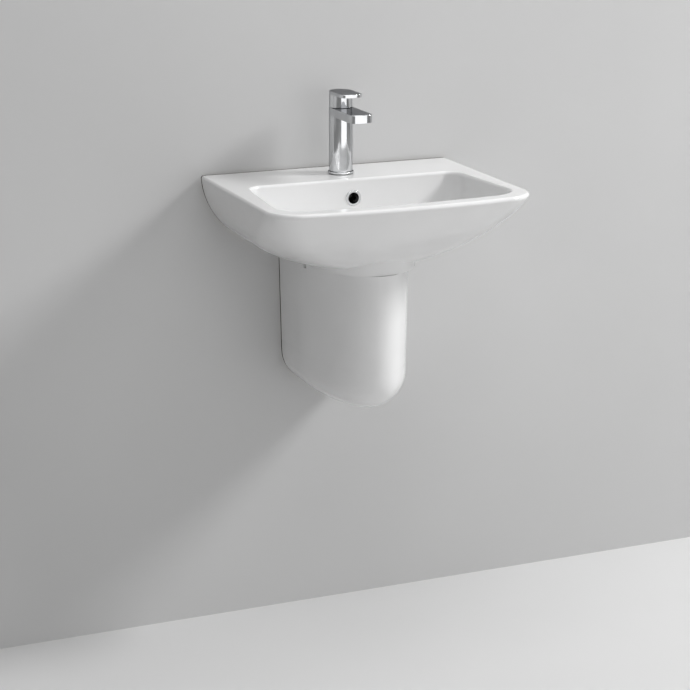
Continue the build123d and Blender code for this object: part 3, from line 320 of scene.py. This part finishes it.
# A greyer chrome on the waste, threaded along its tail
tail_chrome, tree, shader = metal(
    "waste_chrome",
    low=(0.56, 0.57, 0.58),
    high=(0.64, 0.65, 0.66),
    cloud=70.0,
    grain=900.0,
    stretch=HAIRLINES,
    smooth=0.08,
    rough=0.15,
)
tail_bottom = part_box("waste_body")[0].z
tail_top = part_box("waste_back_nut")[1].z
tail = inside(tree, (-FAR, -FAR, tail_bottom), (FAR, FAR, tail_top), TAIL_FADE)
bump(tree, shader, product(tree, bands(tree, "Z", TAIL_PITCH), tail), height=TAIL_PITCH / 3)
paint(tail_chrome, "waste_body")

# Satin chrome for the rings under the lever and the aerator
satin, _, _ = metal(
    "satin_chrome",
    low=(0.50, 0.51, 0.53),
    high=(0.58, 0.59, 0.61),
    cloud=120.0,
    grain=1400.0,
    stretch=SATIN_LINES,
    smooth=0.22,
    rough=0.34,
)
paint(satin, "bonnet_ring", "ring_nut", "aerator_housing")

# Brass clamp nut
brass, tree, shader = metal(
    "machined_brass",
    low=(0.58, 0.42, 0.18),
    high=(0.72, 0.55, 0.28),
    cloud=150.0,
    detail=4.0,
    grain=1200.0,
    stretch=TURNED_LINES,
    smooth=0.22,
    rough=0.38,
)
bump(tree, shader, noise(tree, scale=1500.0, stretch=TOOL_MARKS), height=0.00004)
paint(brass, "clamp_nut")

# Zinc-plated steel, plain and with the grub screw's thread
threaded, tree, shader = zinc("zinc_grub_thread")
bump(tree, shader, bands(tree, "Y", GRUB_PITCH), height=GRUB_PITCH / 2)
paint(threaded, "lever_grub_screw")
plated, tree, shader = zinc("zinc_plate")
bump(tree, shader, noise(tree, scale=900.0), height=0.00003)
paint(
    plated,
    "basin_bolts",
    "pedestal_bolts",
    "clamp_stud",
    "basin_washers",
    "basin_nuts",
    "pedestal_washers",
    "pedestal_nuts",
    "clamp_plate",
    "pivot_pin",
    "lever_stem",
    "plug_stem",
)

# Black rubber seals
rubber, tree, shader = material("black_rubber")
mottle = noise(tree, scale=260.0, detail=4.0)
tint(tree, shader, mottle, low=(0.018, 0.018, 0.019), high=(0.045, 0.045, 0.046))
roughen(tree, shader, noise(tree, scale=700.0), low=0.55, high=0.75)
bump(tree, shader, noise(tree, scale=2200.0), height=0.00005)
shader.inputs["Specular IOR Level"].default_value = 0.3
paint(
    rubber,
    "tap_base_seal",
    "cartridge_seal",
    "clamp_gasket",
    "waste_top_seal",
    "waste_lower_seal",
    "plug_seal",
    "trap_cup_seal",
    "trap_top_seal",
    "trap_outlet_seal",
    "trap_inlet_washer",
)

# Lapped alumina discs
alumina = plastic(
    "lapped_alumina",
    low=(0.78, 0.76, 0.70),
    high=(0.85, 0.83, 0.78),
    smooth=0.18,
    rough=0.28,
    grain=0.00001,
)
paint(alumina, "fixed_disc", "moving_disc")

# Plastics
acetal = plastic(
    "grey_acetal",
    low=(0.30, 0.31, 0.32),
    high=(0.38, 0.39, 0.40),
    smooth=0.38,
    rough=0.52,
    grain=0.00003,
)
paint(acetal, "cartridge_base", "cartridge_housing", "cartridge_rotor", "click_housing", "aerator_insert")
nylon = plastic(
    "white_nylon",
    low=(0.72, 0.72, 0.69),
    high=(0.80, 0.80, 0.77),
    smooth=0.42,
    rough=0.55,
    grain=0.00003,
)
paint(nylon, "basin_sleeves")
polypropylene = plastic(
    "white_polypropylene",
    low=(0.74, 0.74, 0.73),
    high=(0.82, 0.82, 0.81),
    smooth=0.34,
    rough=0.48,
    grain=0.00003,
)
paint(
    polypropylene,
    "waste_back_nut",
    "trap_body",
    "trap_cup",
    "trap_dip_tube",
    "trap_inlet_nut",
    "trap_top_nut",
    "trap_outlet_nut",
)


# Threaded rods: bolts and stud with their threads cut as geometry

def new_piece(name, mesh, mat):
    """A scene object made from a mesh under construction, with one material."""
    data = bpy.data.meshes.new(name)
    mesh.to_mesh(data)
    mesh.free()
    data.materials.append(mat)
    piece = bpy.data.objects.new(name, data)
    scene.collection.objects.link(piece)
    return piece


def rod_rings(profile):
    """Rings of a turned rod, close together where a thread is cut: place, plain radius and thread."""
    rings = []
    for (start, start_radius, thread), (end, end_radius, _) in zip(profile, profile[1:]):
        cut, pitch = thread
        turns = abs(end - start) / pitch if cut else 0
        steps = max(1, math.ceil(turns * RINGS_PER_TURN))
        for step in range(steps):
            share = step / steps
            place = start + (end - start) * share
            radius = start_radius + (end_radius - start_radius) * share
            rings.append((place, radius, thread))
    rings.append(profile[-1])
    return rings


def add_rod(mesh, axes, centre, profile):
    """Adds a turned rod to a mesh: along the first axis from a centre, with threads as helical cuts."""
    along, across, over = axes
    loops = []
    for place, radius, (cut, pitch) in rod_rings(profile):
        loop = []
        for index in range(RING_POINTS):
            turn = index / RING_POINTS
            depth = cut * abs(2 * ((place / pitch + turn) % 1.0) - 1)
            side = across * math.cos(math.tau * turn) + over * math.sin(math.tau * turn)
            loop.append(mesh.verts.new(centre + along * place + side * (radius - depth)))
        loops.append(loop)
    for first, second in zip(loops, loops[1:]):
        for index in range(RING_POINTS):
            after = (index + 1) % RING_POINTS
            mesh.faces.new((first[index], first[after], second[after], second[index]))
    mesh.faces.new(loops[0])
    mesh.faces.new(loops[-1])


def rods(name, node, axes, centres, profile):
    """A piece of threaded rods that stands for a CAD node."""
    mesh = bmesh.new()
    for centre in centres:
        add_rod(mesh, axes, centre, profile)
    bmesh.ops.recalc_face_normals(mesh, faces=mesh.faces)
    piece = new_piece(name, mesh, plated)
    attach(piece, "basin_set")
    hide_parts(node)


def hanger_bolts(name, node, washers):
    """Pair of hanger bolts: screw thread in the wall, plain in the ceramic, machine thread at the nut."""
    low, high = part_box(node)
    radius = (high.z - low.z) / 2
    reach = high.x - radius
    level = (high.z + low.z) / 2
    shank = radius * SHANK_SHARE
    thread_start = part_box(washers)[1].y
    profile = [
        (high.y, radius * TIP_SHARE, PLAIN),
        (high.y - SCREW_TIP, radius, SCREW_THREAD),
        (BACK_Y + SCREW_RUNOUT, radius, PLAIN),
        (BACK_Y, radius, PLAIN),
        (BACK_Y, shank, PLAIN),
        (thread_start, shank, BOLT_THREAD),
        (low.y + BOLT_CHAMFER, shank, PLAIN),
        (low.y, shank - BOLT_CHAMFER, PLAIN),
    ]
    centres = [Vector((side * reach, 0, level)) for side in (-1, 1)]
    rods(name, node, (Y_AXIS, X_AXIS, Z_AXIS), centres, profile)


hanger_bolts("basin_hanger_bolts", "basin_bolts", "basin_washers")
hanger_bolts("pedestal_hanger_bolts", "pedestal_bolts", "pedestal_washers")

stud_low, stud_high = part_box("clamp_stud")
stud_radius = (stud_high.x - stud_low.x) / 2
stud_centre = Vector(((stud_low.x + stud_high.x) / 2, (stud_low.y + stud_high.y) / 2, 0))
stud_profile = [
    (stud_high.z, stud_radius - STUD_CUT, PLAIN),
    (stud_high.z - STUD_CUT, stud_radius, STUD_THREAD),
    (stud_low.z + STUD_CUT, stud_radius, PLAIN),
    (stud_low.z, stud_radius - STUD_CUT, PLAIN),
]
rods("clamp_threaded_stud", "clamp_stud", (Z_AXIS, X_AXIS, Y_AXIS), [stud_centre], stud_profile)


# Stage: a pale floor and the wall that the basin hangs on. Both are clear from behind, and the wall is open
# where the object covers it, so that light reaches the object's back

def sheet(name, panels, mat):
    """A flat backdrop piece made of four-cornered panels."""
    mesh = bmesh.new()
    for panel in panels:
        mesh.faces.new([mesh.verts.new(corner) for corner in panel])
    piece = new_piece(name, mesh, mat)


def back_edge(name, lowest):
    """Right-hand edge of a node's flat back, from the bottom up: height and half width at each corner."""
    node = nodes[name]
    corners = [node.matrix_world @ vertex.co for vertex in node.data.vertices]
    back = [corner for corner in corners if corner.y > -BACK_DEPTH and corner.z > lowest]
    flat = [Vector((corner.x, corner.z)) for corner in back]
    ring = [flat[index] for index in geometry.convex_hull_2d(flat)]
    return sorted((corner.y, corner.x) for corner in ring if corner.x > 0)


def drawn_in(outline, inset):
    """Rows of height and half width from the bottom up: an outline drawn in, closed at both ends."""
    low = outline[0][0] + inset
    high = outline[-1][0] - inset
    rows = [(min(max(level, low), high), max(half - inset, 0.0)) for level, half in outline]
    return [(low, 0.0), *rows, (high, 0.0)]


def strips(rows):
    """Neighbouring rows that have some height between them."""
    return [(lower, upper) for lower, upper in zip(rows, rows[1:]) if upper[0] > lower[0]]


def upright(depth, *corners):
    """An upright panel from the sides and heights of its corners."""
    return [(side, depth, level) for side, level in corners]


def mix_with_clear(tree, shader, clear_share):
    """Mixes a material's shader with a clear one, by a share of clear."""
    clear = tree.nodes.new("ShaderNodeBsdfTransparent")
    either = tree.nodes.new("ShaderNodeMixShader")
    tree.links.new(clear_share, either.inputs["Fac"])
    tree.links.new(shader.outputs["BSDF"], either.inputs[1])
    tree.links.new(clear.outputs["BSDF"], either.inputs[2])
    tree.links.new(either.outputs["Shader"], tree.nodes["Material Output"].inputs["Surface"])


def backdrop_paint(name, shade, roughness):
    """Matt paint that is clear from behind."""
    mat, tree, shader = material(name)
    tint(tree, shader, noise(tree, scale=2.0), grey(shade - PAINT_MOTTLE), grey(shade + PAINT_MOTTLE))
    shader.inputs["Roughness"].default_value = roughness
    shader.inputs["Specular IOR Level"].default_value = 0.0
    side = tree.nodes.new("ShaderNodeNewGeometry")
    mix_with_clear(tree, shader, side.outputs["Backfacing"])
    return mat


def painted_shadow_paint(name, shade):
    """Painted shadow: dark paint that only a view from the front shows, and that lets all light through."""
    mat, tree, shader = material(name)
    shader.inputs["Base Color"].default_value = (*grey(shade), 1)
    shader.inputs["Specular IOR Level"].default_value = 0.0
    rays = tree.nodes.new("ShaderNodeLightPath")
    side = tree.nodes.new("ShaderNodeNewGeometry")
    seen = tree.nodes.new("ShaderNodeMath")
    seen.operation = "SUBTRACT"
    seen.use_clamp = True
    unseen = tree.nodes.new("ShaderNodeMath")
    unseen.operation = "SUBTRACT"
    unseen.inputs[0].default_value = 1.0
    tree.links.new(rays.outputs["Is Camera Ray"], seen.inputs[0])
    tree.links.new(side.outputs["Backfacing"], seen.inputs[1])
    tree.links.new(seen.outputs["Value"], unseen.inputs[1])
    mix_with_clear(tree, shader, unseen.outputs["Value"])
    return mat


floor_corners = [
    (-STAGE_HALF, -STAGE_DEPTH, FLOOR_Z),
    (STAGE_HALF, -STAGE_DEPTH, FLOOR_Z),
    (STAGE_HALF, WALL_Y, FLOOR_Z),
    (-STAGE_HALF, WALL_Y, FLOOR_Z),
]
sheet("floor", [floor_corners], backdrop_paint("floor_paint", FLOOR_SHADE, FLOOR_ROUGHNESS))

cover_edge = back_edge("semi_pedestal", FLOOR_Z)
shell_edge = back_edge("basin", SHELL_FOOT)
cover_top = (shell_edge[0][0], cover_edge[-1][1])
outline = [*cover_edge, cover_top, *shell_edge]

wall_rows = [(FLOOR_Z, 0.0), *drawn_in(outline, OPENING_INSET), (STAGE_TOP, 0.0)]
wall_panels = []
for (bottom, bottom_half), (top, top_half) in strips(wall_rows):
    left = ((-STAGE_HALF, bottom), (-bottom_half, bottom), (-top_half, top), (-STAGE_HALF, top))
    right = ((bottom_half, bottom), (STAGE_HALF, bottom), (STAGE_HALF, top), (top_half, top))
    wall_panels.append(upright(WALL_Y, *left))
    wall_panels.append(upright(WALL_Y, *right))
sheet("wall", wall_panels, backdrop_paint("wall_paint", WALL_SHADE, WALL_ROUGHNESS))

# Painted shadow: a dark sheet over the opening and the gap round the object's back, seen only from the
# front, stands in for the shade there
gap_shadow_panels = []
for (bottom, bottom_half), (top, top_half) in strips(drawn_in(outline, GAP_SHADOW_INSET)):
    corners = ((-bottom_half, bottom), (bottom_half, bottom), (top_half, top), (-top_half, top))
    gap_shadow_panels.append(upright(WALL_Y - GAP_SHADOW_LIFT, *corners))
sheet("painted_gap_shadow", gap_shadow_panels, painted_shadow_paint("painted_wall_shadow", GAP_SHADOW_TONE))


# Light

def softbox(name, place, target, size, power, spread=FULL_SPREAD):
    """An area lamp aimed at a point: place and size in metres, power in watts, spread in degrees."""
    data = bpy.data.lights.new(name, "AREA")
    data.shape = "RECTANGLE"
    data.size, data.size_y = size
    data.energy = power
    data.spread = math.radians(spread)
    lamp = bpy.data.objects.new(name, data)
    lamp.location = place
    lamp.rotation_euler = (Vector(target) - Vector(place)).to_track_quat("-Z", "Y").to_euler()
    scene.collection.objects.link(lamp)


softbox("key", place=(3.4, -1.45, 2.6), target=(0, -0.1, -0.1), size=(1.05, 1.05), power=145)
softbox("fill", place=(0.8, -4.2, 0.2), target=(0, -0.2, -0.2), size=(4.4, 3.0), power=43)
softbox("top", place=(-0.2, -1.4, 3.4), target=(-0.2, -0.7, 0), size=(3.0, 2.4), power=48)
softbox("back", place=(0.8, 3.0, 1.0), target=(0, 0, -0.1), size=(2.0, 2.0), power=45)
softbox(
    "floor_wash",
    place=(-1.2, -3.6, 2.6),
    target=(-1.2, -3.6, 0),
    size=(3.0, 2.4),
    power=12,
    spread=WASH_SPREAD,
)

# World: one level lights the object, a paler one is seen directly and in reflections
world = bpy.data.worlds.new("studio")
scene.world = world
world.use_nodes = True
tree = world.node_tree
lit = tree.nodes["Background"]
shown = tree.nodes.new("ShaderNodeBackground")
for background, strength in ((lit, WORLD_LIGHT), (shown, WORLD_SHOWN)):
    background.inputs["Color"].default_value = WORLD_COLOUR
    background.inputs["Strength"].default_value = strength
rays = tree.nodes.new("ShaderNodeLightPath")
seen = rays.outputs["Is Camera Ray"]
for kind in ("Is Glossy Ray", "Is Transmission Ray"):
    either = tree.nodes.new("ShaderNodeMath")
    either.operation = "MAXIMUM"
    tree.links.new(seen, either.inputs[0])
    tree.links.new(rays.outputs[kind], either.inputs[1])
    seen = either.outputs["Value"]
both = tree.nodes.new("ShaderNodeMixShader")
tree.links.new(seen, both.inputs["Fac"])
tree.links.new(lit.outputs["Background"], both.inputs[1])
tree.links.new(shown.outputs["Background"], both.inputs[2])
tree.links.new(both.outputs["Shader"], tree.nodes["World Output"].inputs["Surface"])

# Camera
camera_data = bpy.data.cameras.new("camera")
camera_data.lens = CAMERA_LENS
camera_data.sensor_width = SENSOR_WIDTH
camera = bpy.data.objects.new("camera", camera_data)
camera.location = CAMERA_PLACE
camera.rotation_euler = CAMERA_FORWARD.to_track_quat("-Z", "Y").to_euler()
scene.collection.objects.link(camera)
scene.camera = camera
